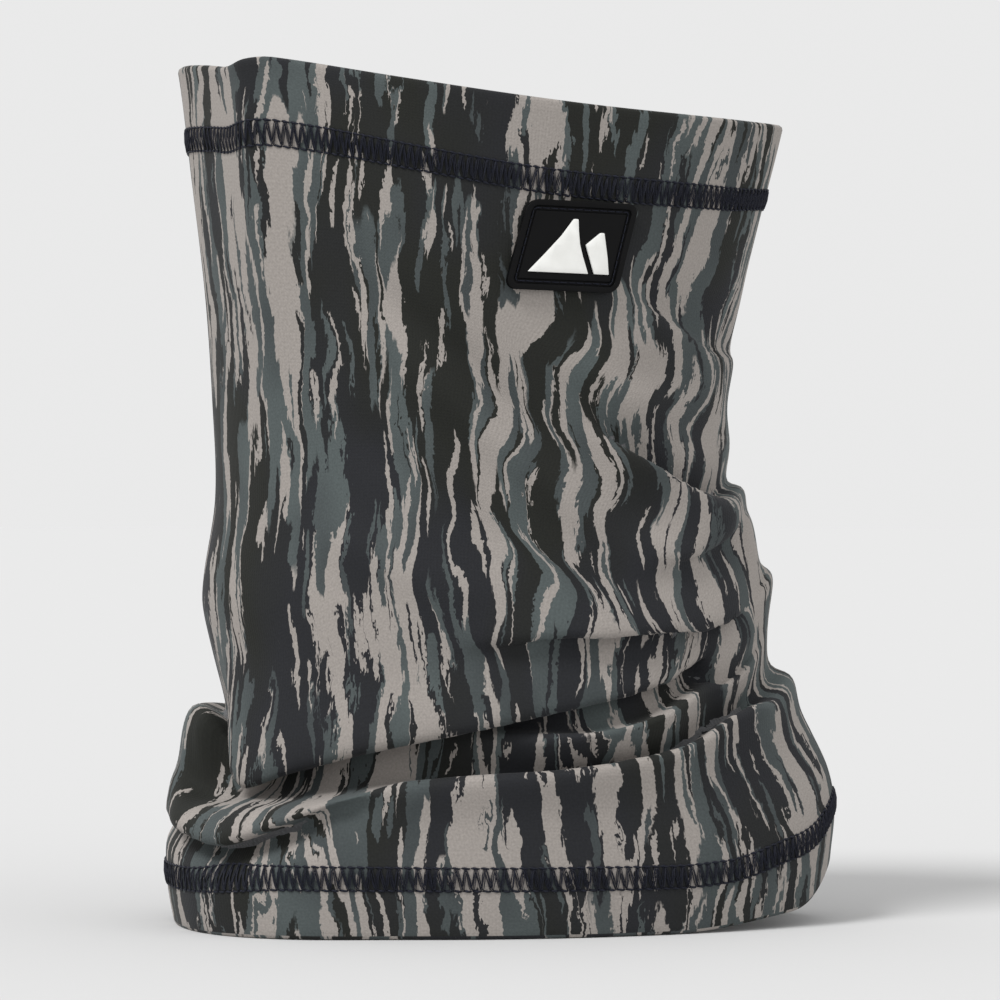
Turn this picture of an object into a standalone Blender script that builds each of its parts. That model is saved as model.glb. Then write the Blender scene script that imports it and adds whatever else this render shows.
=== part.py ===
"""Neck gaiter: a two-layer tube of stretch fabric for skiing, standing as it is worn.

Metres, +Z up. The tube stands on its bottom hem at z = 0 with its front towards -Y.
Run with: blender --background --python part.py
"""

import math

import bpy
from mathutils import Vector

# Driving dimensions, in metres.
HEIGHT = 0.2460  # bottom hem to top hem, on the centre line
TOP_SLOPE = -0.099  # rise of the top edge per metre to the right
RIGHT_LIFT = 0.014  # how far the bottom edge is lifted on the right
FABRIC = 0.0012  # thickness of the printed outer fabric
LINING = 0.0010  # thickness of the inner layer
GAP = 0.0003  # space between pieces that touch
LINING_END = 0.0009  # from the turned edge of a hem to the end of the lining
HEM_DEPTH = 0.0245  # from the top edge to the far side of its hem seam
BOTTOM_HEM_DEPTH = 0.0195  # the same at the bottom
SEAM_WIDTH = 0.0065  # across a flatlock seam
SEAM_HEIGHT = 0.0005  # how thick the looped thread lies on the fabric
NEEDLE_THREAD = 0.0007  # across a row of needle thread
EDGE_ROUND = 0.0010  # rounding of the turned edge of a hem

# The tube's shape: height, centre x, half width, half depth, and how much the right side is pinched.
SECTIONS = (
    (0.000, -0.0013, 0.0955, 0.0610, 0.05),
    (0.014, -0.0003, 0.0985, 0.0640, 0.08),
    (0.040, 0.0002, 0.0990, 0.0650, 0.10),
    (0.062, -0.0008, 0.0905, 0.0665, 0.10),
    (0.094, -0.0043, 0.0840, 0.0680, 0.12),
    (0.122, -0.0055, 0.0790, 0.0670, 0.14),
    (0.150, -0.0081, 0.0770, 0.0665, 0.16),
    (0.180, -0.0077, 0.0794, 0.0680, 0.20),
    (0.215, -0.0063, 0.0853, 0.0695, 0.24),
    (0.246, -0.0045, 0.0905, 0.0700, 0.26),
)

# Folds where the slack of the tube gathers: height at the middle of the front, rise per metre
# to the right, half height, depth in from the surface, direction that it faces in degrees
# (-90 is the front, 0 the right) and how far round it reaches to each side.
FOLDS = (
    (0.052, 0.11, 0.0075, 0.0075, -110, 85),
    (0.084, 0.08, 0.0070, 0.0045, -30, 60),
    (0.106, -0.05, 0.0070, 0.0030, -5, 40),
    (0.044, -0.05, 0.0080, 0.0060, 110, 90),
)

COLUMNS = 40  # facets round the tube
FOLD_ROWS = 13  # rows of facets from the bottom hem to the top of the folds
UPPER_ROWS = 8  # rows from there to the top hem
FOLDS_TOP = 0.118

PATCH_WIDTH = 0.0350
PATCH_HEIGHT = 0.0260
PATCH_SLANT = 0.24  # sideways lean of the patch's ends per metre of height
PATCH_CENTRE = (0.0210, 0.1988)  # x and z on the front
PATCH_CORNER = 0.0030
PATCH_STANDOFF = 0.0005  # the flat patch only touches the curved tube at its middle
PATCH_PLATE = 0.0015
PATCH_RIM_WIDTH = 0.0018
PATCH_RIM_RISE = 0.0008
CHANNEL_THREAD = 0.0005
EMBLEM_THICKNESS = 0.0006

LABEL_WIDTH = 0.024
LABEL_BOTTOM = 0.066
LABEL_TOP = 0.106
LABEL_THICKNESS = 0.0005

BACK = math.pi / 2  # the angle round the tube at which it is seamed


def smooth(t):
    """Ease from 0 to 1 as t goes from 0 to 1."""
    t = min(max(t, 0.0), 1.0)
    return t * t * (3 - 2 * t)


def section(height):
    """Centre x, half width, half depth and pinch at a height, on a smooth curve through SECTIONS."""
    last = len(SECTIONS) - 1
    k = max(i for i in range(last) if SECTIONS[i][0] <= height or i == 0)
    before, start, end, after = (SECTIONS[min(max(k + i, 0), last)] for i in (-1, 0, 1, 2))
    t = (height - start[0]) / (end[0] - start[0])
    values = []
    for a, b, c, d in zip(before[1:], start[1:], end[1:], after[1:]):
        values.append(b + 0.5 * t * (c - a + t * (2 * a - 5 * b + 4 * c - d + t * (3 * (b - c) + d - a))))
    return values


def fold_depth(angle, height, across):
    """How far the folds pull the surface in at a place on the tube."""
    depth = 0.0
    for middle, rise, half, deep, faces, reach in FOLDS:
        turn = math.degrees(angle) - faces
        turn = abs((turn + 180) % 360 - 180)
        share = smooth(1.5 * (1 - turn / reach))
        depth += deep * share * math.exp(-(((height - middle - rise * across) / half) ** 2))
    return depth


def lift(angle):
    """How far the bottom edge is lifted off the ground."""
    return RIGHT_LIFT * smooth((math.cos(angle) - 0.5) / 0.5)


def place(angle, share, inset=0.0, rise=0.0):
    """A point of the tube: share goes from 0 at the bottom edge to 1 at the top edge.

    inset is how far in from the outer surface, and rise how far above that share.
    """
    height = share * HEIGHT + rise
    centre, wide, deep, pinch = section(height)
    folded = inset + fold_depth(angle, height, wide * math.cos(angle))
    x = centre + (wide - folded) * math.cos(angle)
    y = (deep - folded) * math.sin(angle) * (1 - pinch * math.cos(angle))
    z = height + share * TOP_SLOPE * x + (1 - share) * lift(angle)
    return (x, y, z)


def share_of(height):
    return height / HEIGHT


def rows():
    """Shares of the height at which the tube has a row of corners, from hem seam to hem seam."""
    low = share_of(BOTTOM_HEM_DEPTH)
    knee = share_of(FOLDS_TOP)
    high = share_of(HEIGHT - HEM_DEPTH)
    fold = [low + (knee - low) * k / FOLD_ROWS for k in range(FOLD_ROWS)]
    upper = [knee + (high - knee) * k / UPPER_ROWS for k in range(UPPER_ROWS + 1)]
    return fold + upper


def material(name, colour, roughness):
    made = bpy.data.materials.new(name)
    made.use_nodes = True
    shader = made.node_tree.nodes["Principled BSDF"]
    shader.inputs["Base Color"].default_value = (*colour, 1.0)
    shader.inputs["Roughness"].default_value = roughness
    made.diffuse_color = (*colour, 1.0)
    return made


def add_object(name, corners, faces, finish):
    mesh = bpy.data.meshes.new(name)
    mesh.from_pydata(corners, [], faces)
    mesh.validate()
    mesh.shade_smooth()
    mesh.set_sharp_from_angle(angle=math.radians(40))
    mesh.materials.append(finish)
    made = bpy.data.objects.new(name, mesh)
    bpy.context.collection.objects.link(made)
    return made


def add_ring(name, profile, finish, columns=COLUMNS):
    """A closed ring round the tube. profile is its cross-section: (share, inset, rise) points that
    go down the outside, in, and up the inside.

    Each facet is split on the same diagonal outside and inside, so that nested rings stay clear."""
    angles = [2 * math.pi * j / columns for j in range(columns)]
    corners = [place(angle, *point) for point in profile for angle in angles]
    heights = [share * HEIGHT + rise for share, _, rise in profile]
    faces = []
    for k in range(len(profile)):
        after = (k + 1) % len(profile)
        for j in range(columns):
            right = (j + 1) % columns
            a, b = k * columns + j, after * columns + j
            c, d = after * columns + right, k * columns + right
            if heights[after] > heights[k]:
                faces += [(a, b, d), (b, c, d)]
            else:
                faces += [(a, b, c), (a, c, d)]
    return add_object(name, corners, faces, finish)


def add_outer_tube(finish):
    """The printed fabric, turned in at both ends so that the hems are two layers thick."""
    hem = 2 * FABRIC + GAP / 2
    low_seam = share_of(BOTTOM_HEM_DEPTH - SEAM_WIDTH)
    high_seam = share_of(HEIGHT - HEM_DEPTH + SEAM_WIDTH)
    up = rows()
    outside = [(1.0, 0.0, -EDGE_ROUND), (high_seam, 0.0, 0.0)]
    outside += [(share, 0.0, 0.0) for share in reversed(up)]
    outside += [(low_seam, 0.0, 0.0), (0.0, 0.0, EDGE_ROUND)]
    bottom = [(0.0, EDGE_ROUND / 2, 0.0), (0.0, hem - EDGE_ROUND / 2, 0.0), (0.0, hem, EDGE_ROUND)]
    inside = [(low_seam, hem, 0.0), (up[0], hem, 0.0), (up[0], FABRIC, GAP)]
    inside += [(up[0], FABRIC, LINING_END)]
    inside += [(share, FABRIC, 0.0) for share in up[1:-1]]
    inside += [(up[-1], FABRIC, -LINING_END)]
    inside += [(up[-1], FABRIC, -GAP), (up[-1], hem, 0.0), (high_seam, hem, 0.0)]
    top = [(1.0, hem, -EDGE_ROUND), (1.0, hem - EDGE_ROUND / 2, 0.0), (1.0, EDGE_ROUND / 2, 0.0)]
    return add_ring("outer_tube", outside + bottom + inside + top, finish)


def add_lining_tube(finish):
    """The inner layer, whose ends butt against the turned hems."""
    up = rows()
    end = LINING_END
    near = FABRIC + GAP
    far = near + LINING

    def side(inset):
        ends = ((up[0], inset, end), (up[-1], inset, -end))
        return [ends[0], *((share, inset, 0.0) for share in up[1:-1]), ends[1]]

    return add_ring("lining_tube", [*reversed(side(near)), *side(far)], finish)


def add_hem_seam(prefix, low, finish):
    """A flatlock seam round a hem: the looped thread, and the needle thread along each side of it."""
    half = NEEDLE_THREAD / 2
    high = low + SEAM_WIDTH
    near = -GAP
    far = near - SEAM_HEIGHT
    clear = NEEDLE_THREAD + GAP
    a, b = share_of(low + clear), share_of(high - clear)
    band = [(b, far, 0.0), (a, far, 0.0), (a, near, 0.0), (b, near, 0.0)]
    made = [add_ring(f"{prefix}_looper_thread", band, finish)]
    for name, height in (("lower", low + half), ("upper", high - half)):
        share = share_of(height)
        section_of_thread = [
            (share, far - half, half),
            (share, far - half, -half),
            (share, near, -half),
            (share, near, half),
        ]
        made.append(add_ring(f"{prefix}_{name}_needle_thread", section_of_thread, finish))
    return made


def add_slab(name, grid, finish):
    """A closed slab from two matching sheets of points, grid[side][row][column], front side first."""
    down, across = len(grid[0]), len(grid[0][0])
    corners = [p for side in grid for line in side for p in line]

    def at(side, i, j):
        return (side * down + i) * across + j

    faces = []
    for i in range(down - 1):
        for j in range(across - 1):
            faces.append((at(0, i, j), at(0, i, j + 1), at(0, i + 1, j + 1), at(0, i + 1, j)))
            faces.append((at(1, i, j), at(1, i + 1, j), at(1, i + 1, j + 1), at(1, i, j + 1)))
    border = [(0, j) for j in range(across)]
    border += [(i, across - 1) for i in range(1, down)]
    border += [(down - 1, j) for j in range(across - 2, -1, -1)]
    border += [(i, 0) for i in range(down - 2, 0, -1)]
    for k, (i, j) in enumerate(border):
        n, m = border[(k + 1) % len(border)]
        faces.append((at(0, i, j), at(1, i, j), at(1, n, m), at(0, n, m)))
    return add_object(name, corners, faces, finish)


def add_upright_slab(name, middle, width, heights, insets, finish, columns=5):
    """A strip that follows the tube upwards at one side of it, between two insets."""
    half_turn = width / 2 / section(heights[0])[1]
    turns = [middle + half_turn * (2 * j / (columns - 1) - 1) for j in range(columns)]
    grid = [
        [[place(turn, share_of(height), inset) for turn in turns] for height in heights]
        for inset in insets
    ]
    return add_slab(name, grid, finish)


def add_back_seams(finish):
    """The upright flatlock seams that close the outer tube and the lining at the back."""
    heights = [share * HEIGHT for share in rows()]
    heights = [heights[0] + LINING_END, *heights[1:-1], heights[-1] - LINING_END]
    outside = (-GAP - SEAM_HEIGHT, -GAP)
    add_upright_slab("back_seam_looper_thread", BACK, SEAM_WIDTH, heights, outside, finish)
    near = FABRIC + GAP + LINING + GAP
    add_upright_slab("lining_seam_thread", BACK, SEAM_WIDTH, heights, (near, near + SEAM_HEIGHT), finish)


def add_care_label(finish):
    """The blank care label that hangs inside at the back, beside the seam."""
    heights = [share * HEIGHT for share in rows()]
    heights = [LABEL_BOTTOM, *(h for h in heights if LABEL_BOTTOM < h < LABEL_TOP), LABEL_TOP]
    near = FABRIC + LINING + 2 * GAP
    beside = BACK + (SEAM_WIDTH + LABEL_WIDTH) / 2 / section(LABEL_BOTTOM)[1] + 0.01
    add_upright_slab("care_label", beside, LABEL_WIDTH, heights, (near, near + LABEL_THICKNESS), finish)


def patch_frame():
    """The flat patch's middle on the fabric, and its directions: across, up and out."""
    share = share_of(PATCH_CENTRE[1])
    for _ in range(4):
        centre, wide, _, _ = section(share * HEIGHT)
        angle = -math.acos((PATCH_CENTRE[0] - centre) / wide)
        share += share_of(PATCH_CENTRE[1] - place(angle, share)[2])
    middle = Vector(place(angle, share))
    across = (Vector(place(angle + 0.1, share)) - Vector(place(angle - 0.1, share))).normalized()
    up = Vector(place(angle, share + 0.05)) - Vector(place(angle, share - 0.05))
    out = across.cross(up).normalized()
    return middle, across, out.cross(across), out


def on_patch(across, up, out):
    """A point of the patch: across and up from its middle, and out from the fabric."""
    middle, x_way, y_way, z_way = patch_frame()
    return middle + x_way * (across + PATCH_SLANT * up) + y_way * up + z_way * (out + PATCH_STANDOFF)


def rounded_outline(inset, steps=3):
    """The patch's outline, or one inset from it, as (across, up) points, anticlockwise."""
    wide = PATCH_WIDTH / 2 - inset
    tall = PATCH_HEIGHT / 2 - inset
    radius = max(PATCH_CORNER - inset, 0.0008)
    points = []
    for quarter, (sx, sy) in enumerate(((1, 1), (-1, 1), (-1, -1), (1, -1))):
        for k in range(steps + 1):
            turn = (quarter + k / steps) * math.pi / 2
            points.append(
                (
                    sx * (wide - radius) + radius * math.cos(turn),
                    sy * (tall - radius) + radius * math.sin(turn),
                )
            )
    return points


def add_lofted_plate(name, loops, finish):
    """A closed piece on the patch from (outline, out) loops, first to last, with flat ends."""
    count = len(loops[0][0])
    corners = [on_patch(x, y, out) for outline, out in loops for x, y in outline]
    faces = []
    for k in range(len(loops) - 1):
        for j in range(count):
            right = (j + 1) % count
            faces.append((k * count + j, k * count + right, (k + 1) * count + right, (k + 1) * count + j))
    last = (len(loops) - 1) * count
    faces.append(tuple(reversed(range(count))))
    faces.append(tuple(range(last, last + count)))
    return add_object(name, corners, faces, finish)


def add_patch_base(finish):
    """The moulded rubber patch: a plate with a raised rim and a sewing channel inside it."""
    plate = GAP + PATCH_PLATE
    rim = plate + PATCH_RIM_RISE
    channel = PATCH_RIM_WIDTH + 3 * CHANNEL_THREAD
    loops = (
        (rounded_outline(0.0003), GAP),
        (rounded_outline(0.0), GAP + 0.0004),
        (rounded_outline(0.0), rim - 0.0004),
        (rounded_outline(0.0006), rim),
        (rounded_outline(PATCH_RIM_WIDTH - 0.0003), rim),
        (rounded_outline(PATCH_RIM_WIDTH), plate - 0.0005),
        (rounded_outline(channel), plate - 0.0005),
        (rounded_outline(channel + 0.0002), plate),
    )
    return add_lofted_plate("patch_base", loops, finish)


def add_patch_thread(finish):
    """The thread in the patch's channel that sews it to the outer fabric."""
    low = GAP + PATCH_PLATE - 0.0005 + GAP
    high = low + CHANNEL_THREAD
    near = rounded_outline(PATCH_RIM_WIDTH + 0.0003)
    far = rounded_outline(PATCH_RIM_WIDTH + 0.0003 + CHANNEL_THREAD)
    count = len(near)
    corners = [
        on_patch(x, y, out) for out, outline in ((low, near), (high, near), (high, far), (low, far))
        for x, y in outline
    ]
    faces = []
    for k in range(4):
        for j in range(count):
            right = (j + 1) % count
            low_k = (k + 1) % 4
            faces.append((k * count + j, k * count + right, low_k * count + right, low_k * count + j))
    return add_object("patch_stitching_thread", corners, faces, finish)


# The emblem is a plain mountain: its outlines, as shares of the patch's half width and half height.
MAIN_PEAK = ((-0.70, -0.60), (0.36, -0.60), (0.18, -0.20), (0.08, 0.05), (-0.10, 0.62), (-0.28, 0.22))
SIDE_PEAK = ((0.47, -0.60), (0.74, -0.60), (0.44, 0.34), (0.19, 0.04))


def add_emblem(name, outline, finish):
    low = GAP + PATCH_PLATE + GAP
    shape = [(x * PATCH_WIDTH / 2, y * PATCH_HEIGHT / 2) for x, y in outline]
    return add_lofted_plate(name, ((shape, low), (shape, low + EMBLEM_THICKNESS)), finish)


def clear_scene():
    for existing in list(bpy.data.objects):
        bpy.data.objects.remove(existing)


def main():
    clear_scene()
    print_fabric = material("printed_fabric", (0.16, 0.17, 0.16), 0.75)
    lining = material("lining_fabric", (0.035, 0.037, 0.040), 0.9)
    thread = material("navy_thread", (0.020, 0.022, 0.030), 0.6)
    rubber = material("black_rubber", (0.012, 0.012, 0.012), 0.45)
    white_rubber = material("white_rubber", (0.80, 0.80, 0.78), 0.4)
    label = material("label_satin", (0.75, 0.75, 0.73), 0.6)
    add_outer_tube(print_fabric)
    add_lining_tube(lining)
    add_hem_seam("top_hem", HEIGHT - HEM_DEPTH, thread)
    add_hem_seam("bottom_hem", BOTTOM_HEM_DEPTH - SEAM_WIDTH, thread)
    add_back_seams(thread)
    add_care_label(label)
    add_patch_base(rubber)
    add_patch_thread(thread)
    add_emblem("emblem_main_peak", MAIN_PEAK, white_rubber)
    add_emblem("emblem_side_peak", SIDE_PEAK, white_rubber)


main()
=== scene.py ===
"""Neck gaiter: the looks of a printed stretch tube with flatlock hems and a rubber patch.

Metres, +Z up. The tube stands on its bottom hem with its front towards -Y. The cloth is a grid of
points round the folded tube, which keeps its flat size as its UV map, and everything that is sewn
to it is placed on that grid.
"""

import math

import bpy
import numpy as np
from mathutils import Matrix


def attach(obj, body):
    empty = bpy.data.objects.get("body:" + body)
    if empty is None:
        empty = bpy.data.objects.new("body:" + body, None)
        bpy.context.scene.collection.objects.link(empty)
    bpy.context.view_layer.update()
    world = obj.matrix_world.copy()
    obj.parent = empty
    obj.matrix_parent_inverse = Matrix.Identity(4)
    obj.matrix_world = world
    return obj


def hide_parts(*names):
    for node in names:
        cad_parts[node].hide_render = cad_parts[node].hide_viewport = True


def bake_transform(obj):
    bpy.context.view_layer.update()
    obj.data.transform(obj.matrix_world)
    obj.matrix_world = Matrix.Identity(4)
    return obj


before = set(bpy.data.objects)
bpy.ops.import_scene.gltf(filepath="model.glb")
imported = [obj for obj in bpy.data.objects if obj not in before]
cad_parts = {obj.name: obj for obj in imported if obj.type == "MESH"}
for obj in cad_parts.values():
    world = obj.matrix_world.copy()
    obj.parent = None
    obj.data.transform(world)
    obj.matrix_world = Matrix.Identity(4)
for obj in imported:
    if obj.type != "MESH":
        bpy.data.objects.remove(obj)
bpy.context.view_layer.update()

# Cloth dimensions, in metres.
ROUND = 0.500  # once round the tube
HEIGHT = 0.2468  # bottom hem to top hem as it stands, on the centre line
TOP_SLOPE = -0.115  # rise of the top edge per metre to the right
TOP_SAG = 0.0047  # how far the top edge hangs in its middle
SAG_HALF = 0.085  # from the middle to where the top edge no longer hangs
LEFT_CORNER = -0.064  # where the front turns back on the left
LEFT_DROP = 0.0050  # how far the top edge drops beyond that corner
CORNER_REACH = 0.017  # across that drop
TOP_HEM_LIFT = 0.0040  # how much nearer the top edge its hem seam is on the left
SIDE_LIFT = 0.0045  # how much higher the right side's bottom edge is altogether
RIGHT_LIFT = 0.0125  # how much further the bottom edge turns up at the right end
LIFT_START = 0.86  # where it starts to, as the cosine of the angle
LIFT_POWER = 2.5  # how late in its reach it turns up
HEM_LIFT = 0.0050  # how far the bottom hem's seam is lifted there beyond its edge
HEM_DROP = 0.0030  # how far that seam is lowered at the left end
SQUARE_LEFT = 0.36  # how much squarer than an oval the tube stands at the bottom left
CROWDING = 0.06  # of the grid's columns towards the front and the back, in radians
HEM_DEPTH = 0.0245  # from the top edge to the far side of its hem seam
BOTTOM_HEM_DEPTH = 0.0195  # the same at the bottom
SEAM_WIDTH = 0.0065  # across a flatlock seam
FABRIC = 0.0011  # thickness of the printed fabric
HEM_THICKNESS = 0.0023  # the printed fabric turned in on itself
LINING = 0.0009  # thickness of the lining
LAYER_GAP = 0.0003  # between the printed fabric and the lining

COLUMNS = 252  # steps of the cloth's grid round the tube
HEM_ROWS = 10  # rows of the grid in each hem
BODY_ROWS = 126  # rows of the grid between the hems
FINE_ROWS = 700  # rows on which the folds are worked out before the cloth is spaced evenly
EDGE_STEPS = 4  # rows round the turned edge of a hem
WELD = 0.00001  # how close points must be to become one

# Stitches
STITCH = 0.0025  # one stitch along a seam
NEEDLE_RADIUS = 0.00030
NEEDLE_WEAVE = 0.00010  # how far a needle row wanders sideways
LOOPER_RADIUS = 0.00015
UPRIGHT_RADIUS = 0.00018  # all threads of the upright seams
LOOP_STEPS = 6  # points of looped thread in each stitch
LOOP_LOW = 0.00020  # how far looped thread stands out at the ends of a loop
LOOP_BELLY = 0.00030  # how much further in the middle of a loop
LOOP_LAYER = 0.00012  # how much further each strand lies than the one before
LOOP_LAG = 0.04  # how far each strand is behind the one before, in stitches
LOOP_UNEVEN = 0.00009  # how far a strand strays along the seam
BEAD = (0.55, 0.90, 1.15, 1.20, 1.10, 0.85)  # thickness of the needle thread along a stitch
STRANDS = (-0.00040, 0.00003, 0.00045)  # where the looped strands lie beside each other

# The patch, whose corners are square to the cloth's grid apart from a sideways lean
PATCH_WIDTH = 0.0352
PATCH_HEIGHT = 0.0260
PATCH_LEAN = 0.24  # sideways for each metre up
PATCH_PLACE = (0.0212, 0.1985)  # x and z of its middle on the front
PATCH_CORNER = 0.0034
PATCH_THICKNESS = 0.0019  # at the rim
PATCH_RIM = 0.0017  # across the rim
PATCH_WALL = 0.0002  # how far the channel's walls slope
PATCH_CHANNEL = 0.0011  # across the channel inside the rim
PATCH_DROP = 0.0009  # from the rim down to the channel
PATCH_FIELD = 0.0004  # from the channel up to the field
PATCH_ROUNDING = 0.00045
PATCH_GAP = 0.0002  # least space between the patch and the cloth
PATCH_CUT = 0.0031  # between the cuts along which the patch bends
PATCH_MARGIN = (0.004, 0.002)  # beside and above the patch, where its curve still follows the cloth
CHANNEL_STITCH = 0.0026
CHANNEL_CORNER = 0.0010  # the bend of the stitches at the patch's corners
CHANNEL_THREAD = 0.00020  # the radius of their thread
EMBLEM_RISE = 0.0009
EMBLEM_ROUNDING = 0.00028
MAIN_PEAK = (
    (-0.70, -0.60), (0.36, -0.60), (0.18, -0.20), (0.08, 0.05), (0.00, 0.34), (-0.06, 0.60),
    (-0.14, 0.60), (-0.28, 0.22), (-0.48, -0.18),
)  # shares of the patch's half width and half height
SIDE_PEAK = ((0.47, -0.60), (0.74, -0.60), (0.64, -0.22), (0.47, 0.32), (0.40, 0.32), (0.19, 0.04))

# The care label, which hangs inside at the back
LABEL_WIDTH = 0.024
LABEL_LENGTH = 0.041
LABEL_TOP = 0.107
LABEL_SIDE = 0.0185  # from the back seam to the label's middle, round the tube
LABEL_THICKNESS = 0.0003
LABEL_GAP = 0.0005  # between the label and the lining
LABEL_CURL = 0.0016  # how far its free end curls away
LABEL_CUP = 0.0010  # how much further its free corners do

# The tube's shape: height, centre x, half width, half depth, and how much the right is pinched.
SECTIONS = (
    (0.000, 0.0014, 0.0981, 0.0675, 0.20),
    (0.014, 0.0011, 0.0999, 0.0685, 0.19),
    (0.027, -0.0001, 0.0991, 0.0685, 0.18),
    (0.040, -0.0017, 0.0958, 0.0685, 0.17),
    (0.050, -0.0028, 0.0926, 0.0680, 0.16),
    (0.060, -0.0018, 0.0885, 0.0680, 0.14),
    (0.076, -0.0023, 0.0838, 0.0680, 0.12),
    (0.094, -0.0035, 0.0850, 0.0680, 0.12),
    (0.122, -0.0060, 0.0786, 0.0670, 0.14),
    (0.150, -0.0082, 0.0772, 0.0665, 0.16),
    (0.180, -0.0080, 0.0794, 0.0680, 0.20),
    (0.215, -0.0071, 0.0846, 0.0695, 0.24),
    (0.246, -0.0056, 0.0897, 0.0700, 0.26),
)

# Folds. Each has a half height, and points round the tube: angle in degrees (-90 or 270 is the
# front, 0 the right and 180 the left), height, how far the cloth above stands out, how far it hangs
# over the cloth below, and how far the fold as a whole is sunk in. Where the third number is
# negative the cloth below stands out instead, as a rim.
FOLDS = {
    "main": (0.0085, (
        (105, 0.060, 0.0000, 0.0000, 0.000), (135, 0.061, -0.0020, 0.0040, 0.003),
        (178, 0.062, -0.0028, 0.0060, 0.004), (192, 0.060, -0.0044, 0.0090, 0.007),
        (199, 0.058, -0.0046, 0.0090, 0.009), (205, 0.0525, 0.0026, 0.0075, 0.010),
        (211, 0.0490, 0.0062, 0.0105, 0.013), (217, 0.0476, 0.0074, 0.0122, 0.014),
        (232, 0.0524, 0.0078, 0.0116, 0.014), (245, 0.0576, 0.0074, 0.0114, 0.012),
        (270, 0.066, 0.0070, 0.0112, 0.009), (283, 0.0703, 0.0068, 0.0110, 0.008),
        (298, 0.0745, 0.0062, 0.0106, 0.007), (309, 0.0772, 0.0058, 0.0100, 0.007),
        (316, 0.0785, 0.0044, 0.0080, 0.006), (325, 0.079, 0.0000, 0.0010, 0.001),
        (332, 0.079, 0.0000, 0.0000, 0.000))),
    "lower_rim": (0.0062, (
        (120, 0.045, 0.0000, 0.0000, 0.000), (160, 0.043, -0.0010, 0.0015, 0.000),
        (182, 0.0445, -0.0004, 0.0010, 0.000), (193, 0.0430, -0.0010, 0.0016, -0.001),
        (203, 0.0375, -0.0044, 0.0034, 0.002), (212, 0.0350, -0.0058, 0.0040, 0.005),
        (220, 0.0345, -0.0062, 0.0040, 0.005), (232, 0.0364, -0.0062, 0.0040, 0.005),
        (245, 0.0405, -0.0062, 0.0042, 0.005), (256, 0.0436, -0.0060, 0.0046, 0.005),
        (270, 0.0458, -0.0060, 0.0050, 0.005), (283, 0.0472, -0.0056, 0.0054, 0.003),
        (296, 0.0503, -0.0050, 0.0054, 0.002), (309, 0.0548, -0.0044, 0.0048, 0.001),
        (318, 0.0590, -0.0036, 0.0042, 0.001), (328, 0.0618, -0.0020, 0.0030, 0.001),
        (342, 0.064, 0.0000, 0.0000, 0.000))),
    "left_lip": (0.0038, (
        (160, 0.034, 0.0000, 0.0000, 0.000), (182, 0.0340, 0.0024, 0.0022, 0.003),
        (195, 0.0318, 0.0032, 0.0024, 0.003), (206, 0.0280, 0.0046, 0.0032, 0.003),
        (214, 0.0256, 0.0054, 0.0036, 0.004), (221, 0.0256, 0.0054, 0.0036, 0.004),
        (232, 0.0290, 0.0044, 0.0028, 0.002), (242, 0.0338, 0.0026, 0.0020, 0.001),
        (256, 0.0395, 0.0000, 0.0000, 0.000))),
    "thin_roll": (0.0036, (
        (-100, 0.053, 0.0000, 0.0000, 0.000), (-84, 0.0560, -0.0030, 0.0036, -0.003),
        (-70, 0.0585, -0.0040, 0.0046, -0.006), (-56, 0.0630, -0.0040, 0.0046, -0.006),
        (-42, 0.069, -0.0034, 0.0040, -0.003), (-28, 0.0745, -0.0018, 0.0026, 0.000),
        (-10, 0.079, 0.0000, 0.0000, 0.000))),
    "right_step": (0.0085, (
        (-50, 0.0585, 0.0000, 0.0000, 0.000), (-26, 0.0612, -0.0024, 0.0034, 0.001),
        (4, 0.0625, -0.0016, 0.0020, 0.001), (40, 0.065, -0.0016, 0.0022, 0.000),
        (85, 0.068, 0.0000, 0.0000, 0.000))),
    "side_lip": (0.0065, (
        (-102, 0.080, 0.0000, 0.0000, 0.000), (-80, 0.087, 0.0022, 0.0042, 0.001),
        (-65, 0.090, 0.0036, 0.0060, 0.002), (-50, 0.092, 0.0038, 0.0062, 0.002),
        (-37, 0.091, 0.0024, 0.0050, 0.002), (-22, 0.093, 0.0000, 0.0030, 0.001),
        (0, 0.098, -0.0008, 0.0016, 0.000), (35, 0.104, 0.0000, 0.0000, 0.000))),
    "side_rim": (0.0070, (
        (-68, 0.154, 0.0000, 0.0000, 0.000), (-55, 0.144, -0.0030, 0.0034, 0.001),
        (-44, 0.135, -0.0042, 0.0050, 0.001), (-30, 0.129, -0.0036, 0.0046, 0.001),
        (-10, 0.127, -0.0022, 0.0030, 0.000), (15, 0.127, -0.0014, 0.0020, 0.000),
        (50, 0.130, 0.0000, 0.0000, 0.000))),
    "shoulder": (0.0080, (
        (-60, 0.196, 0.0000, 0.0000, 0.000), (-48, 0.186, -0.0018, 0.0024, 0.001),
        (-30, 0.176, -0.0022, 0.0028, 0.001), (-8, 0.170, -0.0010, 0.0020, 0.000),
        (20, 0.168, 0.0000, 0.0000, 0.000))),
    "elbow": (0.0070, (
        (-60, 0.108, 0.0000, 0.0000, 0.000), (-42, 0.110, 0.0018, 0.0030, 0.000),
        (-26, 0.114, 0.0016, 0.0034, 0.001), (-8, 0.116, -0.0008, 0.0020, 0.000),
        (14, 0.116, 0.0000, 0.0000, 0.000))),
    "back_drape": (0.0110, (
        (50, 0.118, 0.0000, 0.0000, 0.000), (80, 0.108, 0.0020, 0.0030, 0.000),
        (110, 0.100, 0.0024, 0.0035, 0.000), (150, 0.092, 0.0000, 0.0000, 0.000))),
}

FOLD_FACING = 0.5  # the folds swing to the front and the back more than to the sides

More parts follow.
